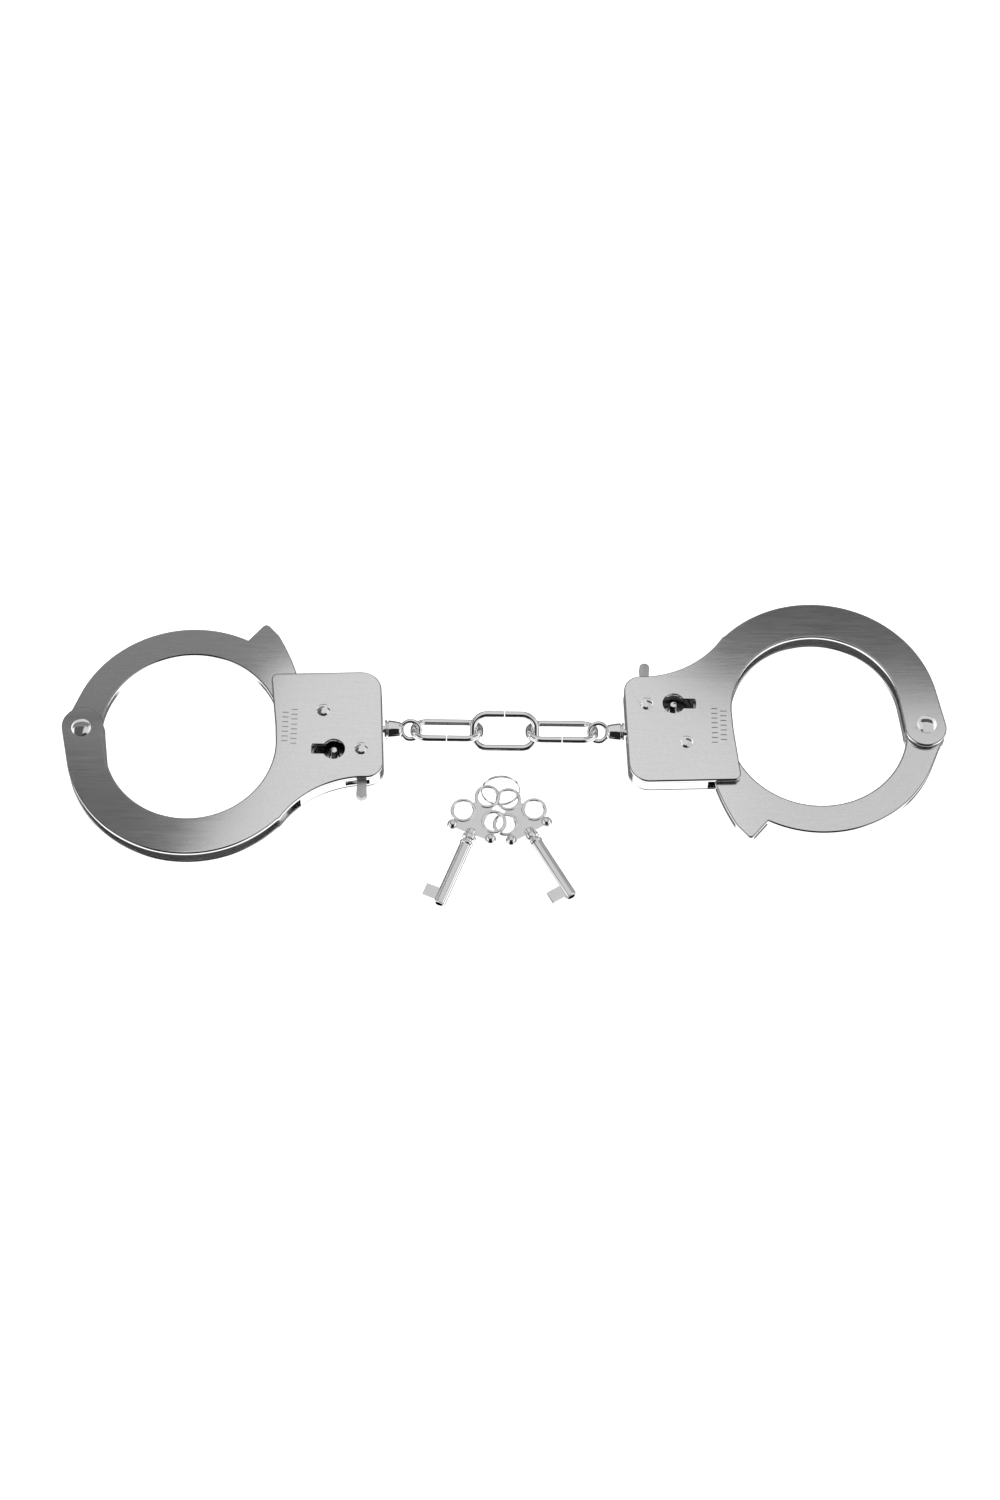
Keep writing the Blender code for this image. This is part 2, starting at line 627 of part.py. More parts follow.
def main():
    clear_scene()
    plate = material("satin_nickel", (0.62, 0.62, 0.63), 0.32)
    polished = material("polished_nickel", (0.78, 0.78, 0.79), 0.12)
    steel = material("bare_steel", (0.50, 0.50, 0.52), 0.35)
    metals = (plate, polished, steel)
    left = Matrix.Translation((-PIVOT_X * MM, (CHAIN_Y - SWIVEL_Y) * MM, 0))
    right = Matrix.Translation((PIVOT_X * MM, (CHAIN_Y + SWIVEL_Y) * MM, 0)) @ turn(180, "Z")
    make_cuff("left", left, EYE_TILT, metals)
    make_cuff("right", right, -EYE_TILT, metals)
    make_link("left_link", -SIDE_LINK_X, SIDE_LINK_HALF, SIDE_LINK_TILT, polished)
    make_link("centre_link", 0.0, CENTRE_LINK_HALF, CENTRE_LINK_TILT, polished)
    make_link("right_link", SIDE_LINK_X, SIDE_LINK_HALF, SIDE_LINK_TILT, polished)
    make_key("left_key", polished, LEFT_KEY)
    make_key("right_key", polished, RIGHT_KEY)
    make_key_ring("key_ring", polished)


main()
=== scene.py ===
"""Looks of the handcuffs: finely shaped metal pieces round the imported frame, plain studio and camera.

Shapes are drawn in millimetres in each piece's own frame and placed by the frame's joints.  A cuff's
own frame has the swing arm's pivot at its origin, +X towards the swivel and +Y on the swing arm's side.
"""
import json
import math

import bmesh
import bpy
from mathutils import Matrix, Vector
from mathutils.geometry import tessellate_polygon


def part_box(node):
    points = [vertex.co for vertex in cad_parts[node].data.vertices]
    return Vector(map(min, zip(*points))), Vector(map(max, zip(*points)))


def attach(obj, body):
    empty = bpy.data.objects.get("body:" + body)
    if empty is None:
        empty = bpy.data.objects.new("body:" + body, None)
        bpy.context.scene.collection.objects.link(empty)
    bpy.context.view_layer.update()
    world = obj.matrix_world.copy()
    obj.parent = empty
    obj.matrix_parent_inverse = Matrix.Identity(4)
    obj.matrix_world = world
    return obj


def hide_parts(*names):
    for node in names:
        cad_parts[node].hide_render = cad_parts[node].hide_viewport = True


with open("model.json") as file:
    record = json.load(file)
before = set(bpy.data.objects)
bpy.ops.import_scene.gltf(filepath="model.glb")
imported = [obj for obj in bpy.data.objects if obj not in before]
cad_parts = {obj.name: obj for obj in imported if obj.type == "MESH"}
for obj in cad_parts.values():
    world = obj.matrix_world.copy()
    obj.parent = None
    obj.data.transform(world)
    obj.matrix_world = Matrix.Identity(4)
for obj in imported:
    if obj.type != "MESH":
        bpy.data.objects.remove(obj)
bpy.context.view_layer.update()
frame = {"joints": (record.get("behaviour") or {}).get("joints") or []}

MM = 0.001

# ---------------------------------------------------------------- places, read from the frame


def joint(name):
    return next(j for j in frame["joints"] if j["name"] == name)


def joint_place(name):
    """A hinge's point in millimetres."""
    return Vector(joint(name)["pos_m"]) / MM


def node_box(name):
    """Lowest and highest corner of a CAD node, in millimetres."""
    low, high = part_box(name)
    return Vector(low) / MM, Vector(high) / MM


LEFT_PIVOT = joint_place("left_arm_swing")
CHAIN = joint_place("left_swivel_turn")
CHAIN_Y = CHAIN.y
MID_Z = CHAIN.z
PIVOT_X = -LEFT_PIVOT.x
SWIVEL_Y = CHAIN_Y - LEFT_PIVOT.y
FOOT = node_box("left_bottom_cheek")[0].z
BOTTOM_Z = node_box("left_bottom_cheek")[1].z
TOP_Z = node_box("left_top_cheek")[0].z
FACE_Z = node_box("left_top_cheek")[1].z

# ---------------------------------------------------------------- shape sizes (millimetres, degrees)

# stamped plates, in the cuff's own frame; circles are (x, y, radius)
BOSS = (0.3, 0.9, 6.5)
RING_IN = (34.2, -4.4, 26.4)
RING_OUT = (34.2, -4.4, 38.6)
NECK = (89.5, -47.2, 31.3)
NECK_START_X = 88.0
NECK_END = (62.0, -31.2)
BODY_TOP_LEFT = (58.0, 20.2)
BODY_TOP_RIGHT = (92.6, 21.5)
BODY_LOW_RIGHT = (94.5, -16.2)
BODY_WAIST = (60.2, 2.0)
BODY_CORNERS_R = (2.0, 6.5, 5.2)     # upper left, upper right and lower right corner of the lock body
RIVET_HOLE_R = 1.25
PIVOT_HOLE_R = 1.65
POST_HOLE_R = 1.1
EDGE_ROUND = 0.5                     # rounding of the stamped plates' edges
ARM_ROUND = 0.55
HOLE_ROUND = 0.12
SMOOTH_DEG = 38.0                    # edges sharper than this stay crisp

ARM_BOSS = (0.0, 0.3, 6.1)
ARM_OUT = (33.7, -0.7, 37.8)
ARM_IN = (33.8, -0.2, 27.9)
ARM_T = 3.2
ARM_TIP_R = 69.4
ARM_TAIL_R = 61.7
ARM_TAIL_DEG = -24.0
ARM_TAIL_INNER_DEG = -22.5
ARM_TAIL_START_DEG = -18
ARM_NOTCH = (50.3, 33.7)
ARM_BEAK = (55.6, 39.8)
ARM_BEAK_R = 1.4
ARM_EDGE_DEG = (30.5, 14.5)
ARM_HOLE_R = 1.68
TOOTH_COUNT = 16
TOOTH_PITCH_DEG = 2.2
TOOTH_DEPTH = 0.8
TOOTH_FIRST_DEG = 12.0
TOOTH_FACE_DEG = 0.25                # how far the steep face of a tooth leans

PAWL_RIVET = (75.0, 7.3)
BODY_RIVET = (87.2, -6.05)
KEYHOLE = (78.7, -6.3)
PAWL_T = 2.4
PAWL_BOSS_R = 2.9
PAWL_HOLE_R = 1.28
PAWL_ROUND = 0.1
PAWL_HEEL = ((70.9, -14.6), (72.2, -16.4), (79.0, -15.9), (84.0, -14.2))
PAWL_TOE = ((88.2, -11.4), (85.8, -11.2))
PAWL_TRAVEL_DEG = 4.0
PAWL_TEETH = 3
PAWL_TEETH_FIRST = 6
PLAY = 0.15
KEY_SWEEP = 6.3
TAB_X = (86.2, 89.1)
TAB_ROOT_Y = (-14.6, -12.6)          # left and right side
TAB_NECK_Y = -18.2
TAB_WIDE_Y = -19.5
TAB_END_Y = -21.9

KEYHOLE_R = 3.45
KEYHOLE_SLOT_W = 3.4
KEYHOLE_SLOT_END = 6.9
POST_R = 1.05

WALL_T = 1.4
WALL_INSET = 0.1
FRAME_START = (68.4, 20.59)
FRAME_END = (69.0, -23.4)
TAB_SLOT_X = (82.6, 90.0)
TAB_SLOT_Y = (-22, -12.2)
SWIVEL_HOLE_X = 93
SWIVEL_HOLE_R = 1.35
SWIVEL_HOLE_HALF = 4
CLEARANCE = 0.02                     # between pieces that would otherwise touch

# name, place, shank radius, head radius, head height
RIVETS = (("arm_rivet", (0.0, 0.0), 1.6, 3.05, 0.95),
          ("pawl_rivet", PAWL_RIVET, 1.2, 2.05, 0.75),
          ("body_rivet", BODY_RIVET, 1.2, 2.05, 0.75))
RIVET_RIM = 0.16

SPRING_WIRE_R = 0.32
SPRING_R = 1.75
SPRING_TURNS = 2.5
SPRING_START_DEG = 40
SPRING_HALF_H = 0.9
SPRING_WALL_LEG = ((91.0, 0.3), (90.2, -2.6))
SPRING_TAB_LEG = ((89.0, -8.4), (89.75, -12.0))

STAMP_ROWS = ((63.3, 6.6), (66.1, 7.8))       # far ends of the two rows of plain stamped dashes
STAMP_WIDTHS = ((0.55, 0.9, 0.55, 0.9, 0.55, 0.9, 0.55), (0.9, 0.55, 0.9, 0.9, 0.55, 0.9, 0.55, 0.9))
STAMP_LENGTH = 1.9
STAMP_SPACE = 0.95
STAMP_DEPTH = 0.35

EYE_X = 102.2
EYE_R = 2.85
EYE_WIRE_R = 0.72
EYE_TILT = 27.0
# the swivel's turned parts: radius, x
SWIVEL_BELL = ((1.5, 99.75), (1.9, 99.62), (2.2, 99.4), (2.4, 99.1), (2.55, 98.6), (2.75, 97.6),
               (2.92, 96.4), (3.02, 95.6), (3.0, 95.35), (2.85, 95.2))
SWIVEL_FLANGE = ((2.5, 95.12), (2.5, 94.88), (2.95, 94.82), (3.1, 94.7), (3.1, 94.32), (2.98, 94.2))
SWIVEL_STEM = ((1.15, 94.18), (1.15, 91.7), (1.75, 91.7), (1.8, 91.5), (1.8, 90.7), (1.7, 90.5))

LINK_WIRE_R = 1.05
LINK_WIDTH = 10.5
LINK_CORNER = 4.4
CENTRE_LINK_HALF = 9.8
SIDE_LINK_HALF = 10.34
SIDE_LINK_X = 17.94
CENTRE_LINK_TILT = 25.0
SIDE_LINK_TILT = -33.0
LINK_GAP = 0.12                      # half the butt joint in a link's wire
WIRE_END_ROUND = 0.1

# keys: x across the bow, y from its bottom bar up to the top lobe and down the shank
KEY_LOBES = ((-5.1, 5.5), (5.1, 5.5), (0.0, 12.5))
LOBE_OUT = 3.95
LOBE_IN = 2.9
RIM_SQUARE = 0.7                     # below 1 the section of a rim is squarer than an ellipse
LOBE_H = 1.5
WEB_T = 0.9
WEB_BAR = (6.3, -0.75)               # right end of the bar's lower edge
WEB_SHOULDER = ((6.7, 0.6), (6.4, 1.8), (5.6, 5.5))
WEB_HOLLOW = (6.6, 12.2, 4.6)
WEB_HOLLOW_DEG = (-118, -172)
WEB_TOP_Y = 12.0
WEB_ROUND = 0.18
KEY_BALL_X = 6.3
KEY_BALL_R = 1.7
KEY_SHANK_R = 1.85
KEY_BORE_R = 1.25
KEY_BORE_DEPTH = 9
# the collar between bow and shank: radius, y
KEY_COLLAR = ((0, 0.9), (1.2, 0.8), (1.6, 0.4), (1.6, -0.9), (1.8, -1.1), (2.1, -1.35), (2.1, -2.5),
              (1.85, -2.75), (1.55, -2.95), (1.55, -3.35), (1.8, -3.6), (2.1, -3.8), (2.15, -4.1),
              (2.1, -4.4), (KEY_SHANK_R, -4.65))
KEY_TIP_V = -25.5
KEY_BIT_V = (-24.7, -20.7)
KEY_BIT_REACH = 5.9
KEY_BIT_T = 1.6
KEY_BIT_ROUND = 0.15
# where the keys lie: x, y and z of the bow, turn about the upright, rise of the bow (degrees)
LEFT_KEY = (-9.7, -35.2, 4.0, -22.1, 4.7)
RIGHT_KEY = (7.9, -33.9, 2.2, 31.0, 0.7)

RING_R = 5.85
RING_WIRE_R = 0.215
RING_TURNS = 1.97
RING_SPREAD = 1.03                   # gap between the turns, in wire radii
RING_STEP = 0.06                     # share of the wire that steps over to the other turn
RING_CENTRE = (-0.97, -22.03, 6.31)
RING_TILT = (69.6, -2.8)

# ---------------------------------------------------------------- outlines


def arc(cx, cy, r, a0, a1, steps):
    angles = [math.radians(a0 + (a1 - a0) * i / steps) for i in range(steps + 1)]
    return [(cx + r * math.cos(a), cy + r * math.sin(a)) for a in angles]


def angle_of(circle, point):
    return math.degrees(math.atan2(point[1] - circle[1], point[0] - circle[0]))


def fillet(before, corner, after, r, steps=14):
    """Round a corner of an outline with radius r."""
    c = Vector(corner)
    u = (Vector(before) - c).normalized()
    v = (Vector(after) - c).normalized()
    half = u.angle(v) / 2
    centre = c + (u + v).normalized() * (r / math.sin(half))
    start = c + u * (r / math.tan(half))
    end = c + v * (r / math.tan(half))
    a0 = math.atan2(start.y - centre.y, start.x - centre.x)
    a1 = math.atan2(end.y - centre.y, end.x - centre.x)
    turn_by = (a1 - a0 + math.pi) % (2 * math.pi) - math.pi
    return arc(centre.x, centre.y, r, math.degrees(a0), math.degrees(a0 + turn_by), steps)


def tangent_angle(small, large, side):
    """Direction in which a common tangent touches both circles, on one side of their line of centres."""
    dx = small[0] - large[0]
    dy = small[1] - large[1]
    spread = math.acos((large[2] - small[2]) / math.hypot(dx, dy))
    return math.degrees(math.atan2(dy, dx) + side * spread)


def polar(r, degrees):
    a = math.radians(degrees)
    return (r * math.cos(a), r * math.sin(a))


def turned(points, centre, degrees):
    c, s = polar(1.0, degrees)
    out = []
    for x, y in points:
        dx = x - centre[0]
        dy = y - centre[1]
        out.append((centre[0] + c * dx - s * dy, centre[1] + s * dx + c * dy))
    return out


def hole(centre, r, steps=48):
    return arc(centre[0], centre[1], r, 0, 360, steps)[:-1]


def body_corners():
    """Rounded corners of the lock body and the point where the neck's curve leaves it."""
    neck_start = (NECK_START_X, NECK[1] + math.sqrt(NECK[2] ** 2 - (NECK[0] - NECK_START_X) ** 2))
    top_left = fillet(BODY_WAIST, BODY_TOP_LEFT, BODY_TOP_RIGHT, BODY_CORNERS_R[0])
    top_right = fillet(BODY_TOP_LEFT, BODY_TOP_RIGHT, BODY_LOW_RIGHT, BODY_CORNERS_R[1])
    low_right = fillet(BODY_TOP_RIGHT, BODY_LOW_RIGHT, neck_start, BODY_CORNERS_R[2])
    return top_left, top_right, low_right, neck_start


def cheek_outline():
    top_left, top_right, low_right, neck_start = body_corners()
    boss_tangent = tangent_angle(BOSS, RING_OUT, 1) % 360
    points = arc(*BOSS, -2, boss_tangent, 48)
    points += arc(*RING_OUT, boss_tangent, 360 + angle_of(RING_OUT, NECK_END), 120)
    points += arc(*NECK, angle_of(NECK, NECK_END), angle_of(NECK, neck_start), 28)[1:-1]
    points += list(reversed(low_right))
    points += list(reversed(top_right))
    points += list(reversed(top_left))
    points += [BODY_WAIST, (RING_IN[0] + RING_IN[2], RING_IN[1])]
    points += arc(*RING_IN, -4, -172, 110)
    return points


def keyhole_outline():
    half = KEYHOLE_SLOT_W / 2
    spread = math.degrees(math.asin(half / KEYHOLE_R))
    x, y = KEYHOLE
    end = x - KEYHOLE_SLOT_END
    points = arc(x, y, KEYHOLE_R, -180 + spread, 180 - spread, 48)
    points += fillet(points[-1], (end, y + half), (end, y), 0.5, 5)
    points += fillet((end, y), (end, y - half), points[0], 0.5, 5)
    return points


def offset_line(points, distance):
    """An open run of points moved to its left."""
    out = []
    for i, point in enumerate(points):
        before = Vector(points[max(i - 1, 0)])
        after = Vector(points[min(i + 1, len(points) - 1)])
        along = (after - before).normalized()
        out.append((point[0] - along.y * distance, point[1] + along.x * distance))
    return out


def frame_outline():
    _, top_right, low_right, neck_start = body_corners()
    run = [FRAME_START] + top_right + low_right
    run += arc(*NECK, angle_of(NECK, neck_start), angle_of(NECK, FRAME_END), 24)
    return offset_line(run, -WALL_INSET) + list(reversed(offset_line(run, -WALL_INSET - WALL_T)))


def tooth_angle(index):
    return TOOTH_FIRST_DEG - index * TOOTH_PITCH_DEG


def arm_outline():
    boss_tangent = tangent_angle(ARM_BOSS, ARM_OUT, -1)
    points = arc(*ARM_OUT, boss_tangent, angle_of(ARM_OUT, ARM_NOTCH), 80)
    points += fillet(ARM_NOTCH, ARM_BEAK, polar(ARM_TIP_R, ARM_EDGE_DEG[0]), ARM_BEAK_R)
    points += arc(0, 0, ARM_TIP_R, *ARM_EDGE_DEG, 16)
    root = ARM_TIP_R - TOOTH_DEPTH
    for i in range(TOOTH_COUNT):
        points.append(polar(root, tooth_angle(i)))
        points.append(polar(ARM_TIP_R, tooth_angle(i) - TOOTH_FACE_DEG))
    points.append(polar(root, tooth_angle(TOOTH_COUNT)))
    tail_out = polar(ARM_TIP_R - 0.4, ARM_TAIL_DEG)
    tail_in = polar(ARM_TAIL_R, ARM_TAIL_INNER_DEG)
    points += fillet(points[-1], tail_out, tail_in, 0.7, 5)
    points += fillet(tail_out, tail_in, polar(ARM_TAIL_R, ARM_TAIL_START_DEG), 1.6, 8)
    points += arc(0, 0, ARM_TAIL_R, ARM_TAIL_START_DEG, 0, 12)
    points += arc(*ARM_IN, 3, 176, 110)
    points += arc(*ARM_BOSS, 2, -180 - (180 - boss_tangent) % 360, 44)
    return points


def pawl_teeth():
    """The pawl's teeth fit the arm's; they are drawn back from them by the pawl's travel."""
    root = ARM_TIP_R + PLAY
    tip = ARM_TIP_R - TOOTH_DEPTH + PLAY
    points = []
    for i in range(PAWL_TEETH):
        start = tooth_angle(PAWL_TEETH_FIRST + i) + 0.12
        points.append(polar(root, start + TOOTH_PITCH_DEG - TOOTH_FACE_DEG))
        points.append(polar(tip, start))
    points.append(polar(root, start - TOOTH_FACE_DEG + CLEARANCE))
    return turned(points, PAWL_RIVET, PAWL_TRAVEL_DEG)


def pawl_outline():
    left, right = TAB_X
    points = arc(*PAWL_RIVET, PAWL_BOSS_R, -15, 195, 36)
    points += pawl_teeth()
    points += PAWL_HEEL
    points += [(left, TAB_ROOT_Y[0]), (left, TAB_NECK_Y), (left - 0.1, TAB_WIDE_Y)]
    tab_r = (right - left) / 2 + 0.15
    points += arc((left + right) / 2, TAB_END_Y + tab_r, tab_r, 180, 360, 24)
    points += [(right + 0.1, TAB_WIDE_Y), (right, TAB_NECK_Y), (right, TAB_ROOT_Y[1])]
    points += PAWL_TOE
    points += arc(*KEYHOLE, KEY_SWEEP, -38, -206, 40)
    return points


def web_outline():
    """Bow plate: hollow curves run from lobe to lobe above a straight bottom bar."""
    right = [WEB_BAR, *WEB_SHOULDER] + arc(*WEB_HOLLOW, *WEB_HOLLOW_DEG, 10)
    left = [(-x, y) for x, y in reversed(right)]
    return left[-1:] + right + [(0, WEB_TOP_Y)] + left[:-1]


# ---------------------------------------------------------------- solids


def extruded(outline, holes, z0, z1):
    """A flat plate with square edges."""
    bm = bmesh.new()
    loops = [outline] + list(holes)
    low = [[bm.verts.new((x, y, z0)) for x, y in loop] for loop in loops]
    high = [[bm.verts.new((x, y, z1)) for x, y in loop] for loop in loops]
    flat_low = [v for loop in low for v in loop]
    flat_high = [v for loop in high for v in loop]
    polygons = [[Vector((x, y, 0)) for x, y in loop] for loop in loops]
    for tri in tessellate_polygon(polygons):
        bm.faces.new([flat_low[i] for i in tri])
        bm.faces.new([flat_high[i] for i in tri])
    for bottom, top in zip(low, high):
        count = len(bottom)
        for i in range(count):
            j = (i + 1) % count
            bm.faces.new((bottom[i], bottom[j], top[j], top[i]))
    bmesh.ops.recalc_face_normals(bm, faces=bm.faces)
    flat = [e for e in bm.edges if e.calc_face_angle(0) < 1e-4]      # radians
    bmesh.ops.dissolve_edges(bm, edges=flat, use_verts=False)
    return bm


MITRE_LIMIT = 0.6                    # keeps sharp corners from running far inwards


def inset(points, distance, crisp):
    """A closed outline moved inwards; points for which crisp is true stay where they are."""
    count = len(points)
    area = sum(points[i - 1][0] * points[i][1] - points[i][0] * points[i - 1][1] for i in range(count))
    way = 1 if area > 0 else -1
    out = []
    for i, point in enumerate(points):
        here = Vector(point)
        before = (here - Vector(points[i - 1])).normalized()
        after = (Vector(points[(i + 1) % count]) - here).normalized()
        along = (before + after).normalized()
        reach = distance / max(MITRE_LIMIT, along.dot(after))
        if crisp(point):
            reach = 0.0
        out.append((point[0] - along.y * reach * way, point[1] + along.x * reach * way))
    return out


def rounded_plate(outline, holes, z0, z1, r, hole_r=0.0, crisp=lambda point: False, steps=5):
    """A plate whose upper and lower edges are rounded; the edges of the holes have their own radius."""
    bm = bmesh.new()
    low_end = []
    high_end = []
    for number, loop in enumerate([outline] + list(holes)):
        radius = -hole_r if number else r
        rings = []
        for i in range(steps + 1 if radius else 1):
            a = math.pi / 2 * i / steps
            points = inset(loop, radius * (1 - math.sin(a)), crisp)
            rings.append((points, z0 + abs(radius) * (1 - math.cos(a))))
        rings += [(points, z0 + z1 - z) for points, z in reversed(rings)]
        verts = [[bm.verts.new((x, y, z)) for x, y in points] for points, z in rings]
        for lower, upper in zip(verts, verts[1:]):
            join_rings(bm, upper, lower)
        low_end.append((rings[0][0], verts[0]))
        high_end.append((rings[-1][0], verts[-1]))
    for end in (low_end, high_end):
        flat = [v for _, ring in end for v in ring]
        for tri in tessellate_polygon([[Vector((x, y, 0)) for x, y in points] for points, _ in end]):
            bm.faces.new([flat[i] for i in tri])
    bmesh.ops.recalc_face_normals(bm, faces=bm.faces)
    return bm


def join_rings(bm, upper, lower):
    """Faces between two rings of vertices; either may be a single point."""
    count = max(len(upper), len(lower))
    for i in range(count):
        j = (i + 1) % count
        if len(upper) == 1:
            bm.faces.new((upper[0], lower[i], lower[j]))
        elif len(lower) == 1:
            bm.faces.new((upper[i], lower[0], upper[j]))
        else:
            bm.faces.new((upper[i], lower[i], lower[j], upper[j]))


def lathe(profile, steps=56):
    """A turned solid; the open profile is (radius, z) and starts and ends on the axis."""
    bm = bmesh.new()
    rings = []
    for r, z in profile:
        if r == 0:
            rings.append([bm.verts.new((0, 0, z))])
        else:
            rings.append([bm.verts.new((x, y, z)) for x, y in hole((0, 0), r, steps)])
    for upper, lower in zip(rings, rings[1:]):
        join_rings(bm, upper, lower)
    bmesh.ops.recalc_face_normals(bm, faces=bm.faces)
    return bm


def lathe_ring(profile, steps=56):
    """A turned ring: the closed profile goes round the hole."""
    bm = bmesh.new()
    rings = [[bm.verts.new((x, y, z)) for x, y in hole((0, 0), r, steps)] for r, z in profile]
    for i in range(len(rings)):
        join_rings(bm, rings[i], rings[(i + 1) % len(rings)])
    bmesh.ops.recalc_face_normals(bm, faces=bm.faces)
    return bm


def tube(path, r, sides, closed, end_round=0.0):
    """A round wire; open ends are drawn in a little to look cut and deburred."""
    bm = bmesh.new()
    count = len(path)
    points = [Vector(p) for p in path]
    rings = []
    normal = None
    for i, p in enumerate(points):
        before = points[i - 1] if closed or i else p
        after = points[(i + 1) % count] if closed or i < count - 1 else p
        along = (after - before).normalized()
        if normal is None:
            normal = along.orthogonal().normalized()
        normal = (normal - along * normal.dot(along)).normalized()
        side = along.cross(normal)
        radius = r - end_round if not closed and i in (0, count - 1) else r
        ring = []
        for k in range(sides):
            a = 2 * math.pi * (k + 0.5) / sides
            ring.append(bm.verts.new(p + (normal * math.cos(a) + side * math.sin(a)) * radius))
        rings.append(ring)
    for i in range(count - (0 if closed else 1)):
        join_rings(bm, rings[i], rings[(i + 1) % count])
    if not closed:
        bm.faces.new(rings[0])
        bm.faces.new(rings[-1])
    bmesh.ops.recalc_face_normals(bm, faces=bm.faces)
    return bm


def box(x0, x1, y0, y1, z0, z1):
    return extruded([(x0, y0), (x1, y0), (x1, y1), (x0, y1)], [], z0, z1)


def moved(bm, matrix):
    bmesh.ops.transform(bm, matrix=matrix, verts=bm.verts)
    return bm


def shift(x=0.0, y=0.0, z=0.0):
    return Matrix.Translation((x, y, z))


def turn(degrees, axis):
    return Matrix.Rotation(math.radians(degrees), 4, axis)


def merged(*parts):
    """Several closed shapes in one mesh."""
    whole = bmesh.new()
    for bm in parts:
        mesh = bpy.data.meshes.new("part")
        bm.to_mesh(mesh)
        bm.free()
        whole.from_mesh(mesh)
        bpy.data.meshes.remove(mesh)
    return whole


# ---------------------------------------------------------------- objects


def make_object(name, bm, place):
    mesh = bpy.data.meshes.new(name)
    bmesh.ops.transform(bm, matrix=Matrix.Scale(MM, 4), verts=bm.verts)
    bm.to_mesh(mesh)
    bm.free()
    thing = bpy.data.objects.new(name, mesh)
    bpy.context.scene.collection.objects.link(thing)
    thing.matrix_world = place
    return thing


def apply_modifiers(thing):
    """Bakes the modifiers into the mesh, so that helpers can be removed."""
    bpy.context.view_layer.update()
    graph = bpy.context.evaluated_depsgraph_get()
    mesh = bpy.data.meshes.new_from_object(thing.evaluated_get(graph))
    thing.modifiers.clear()
    old = thing.data
    thing.data = mesh
    bpy.data.meshes.remove(old)


def bevel(thing, width, segments=2, angle=60):
    mod = thing.modifiers.new("edge", "BEVEL")
    mod.width = width * MM
    mod.segments = segments
    mod.limit_method = "ANGLE"
    mod.angle_limit = math.radians(angle)
    apply_modifiers(thing)


def combine(thing, bm, operation):
    """Adds a shape to a piece or cuts it away."""
    helper = make_object(thing.name + ".helper", bm, thing.matrix_world)
    mod = thing.modifiers.new("cut", "BOOLEAN")
    mod.operation = operation
    mod.object = helper
    mod.solver = "EXACT"
    mod.use_self = True
    apply_modifiers(thing)
    bpy.data.objects.remove(helper)


def piece(name, bm, mat, place, body, node, cuts=(), unions=()):
    """One visible piece: shaped, smoothed, painted, and riding on its body in place of its CAD node."""
    thing = make_object(name, bm, place)
    for extra in unions:
        combine(thing, extra, "UNION")
    for cutter in cuts:
        combine(thing, cutter, "DIFFERENCE")
    finish_piece(thing, mat, body, node)


def finish_piece(thing, mat, body, node):
    """Smooths the edges while the flat faces stay flat, paints the piece and puts it on its body."""
    thing.data.shade_smooth()
    thing.data.set_sharp_from_angle(angle=math.radians(SMOOTH_DEG))
    mod = thing.modifiers.new("flat_faces", "WEIGHTED_NORMAL")
    mod.weight = 100
    mod.keep_sharp = True
    apply_modifiers(thing)
    thing.data.materials.clear()
    thing.data.materials.append(mat)
    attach(thing, body)
    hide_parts(node)


# ---------------------------------------------------------------- metals


def put(tree, kind, links=(), **values):
    """Adds a shader node, sets its inputs and joins other nodes' outputs to them."""
    n = tree.nodes.new(kind)
    for key, value in values.items():
        if hasattr(n, key):
            setattr(n, key, value)
        else:
            n.inputs[key.replace("_", " ")].default_value = value
    for target, source in links:
        tree.links.new(source, n.inputs[target])
    return n


def remap(tree, source, low, high, to_low, to_high):
    """A value scaled from one range to another and held at its ends."""
    n = put(tree, "ShaderNodeMapRange", [("Value", source)], From_Min=low, From_Max=high)
    n.inputs["To Min"].default_value = to_low
    n.inputs["To Max"].default_value = to_high
    return n.outputs["Result"]


def maths(tree, operation, a, b=0.0):
    n = put(tree, "ShaderNodeMath", operation=operation)
    for socket, value in zip(n.inputs, (a, b)):
        if isinstance(value, float):
            socket.default_value = value
        else:
            tree.links.new(value, socket)
    return n.outputs["Value"]


PAINTED_SHOULDER_SHADE = 0.3                 # painted shade: the rolled band of a satin plate between face and edge is painted darker than face and edge
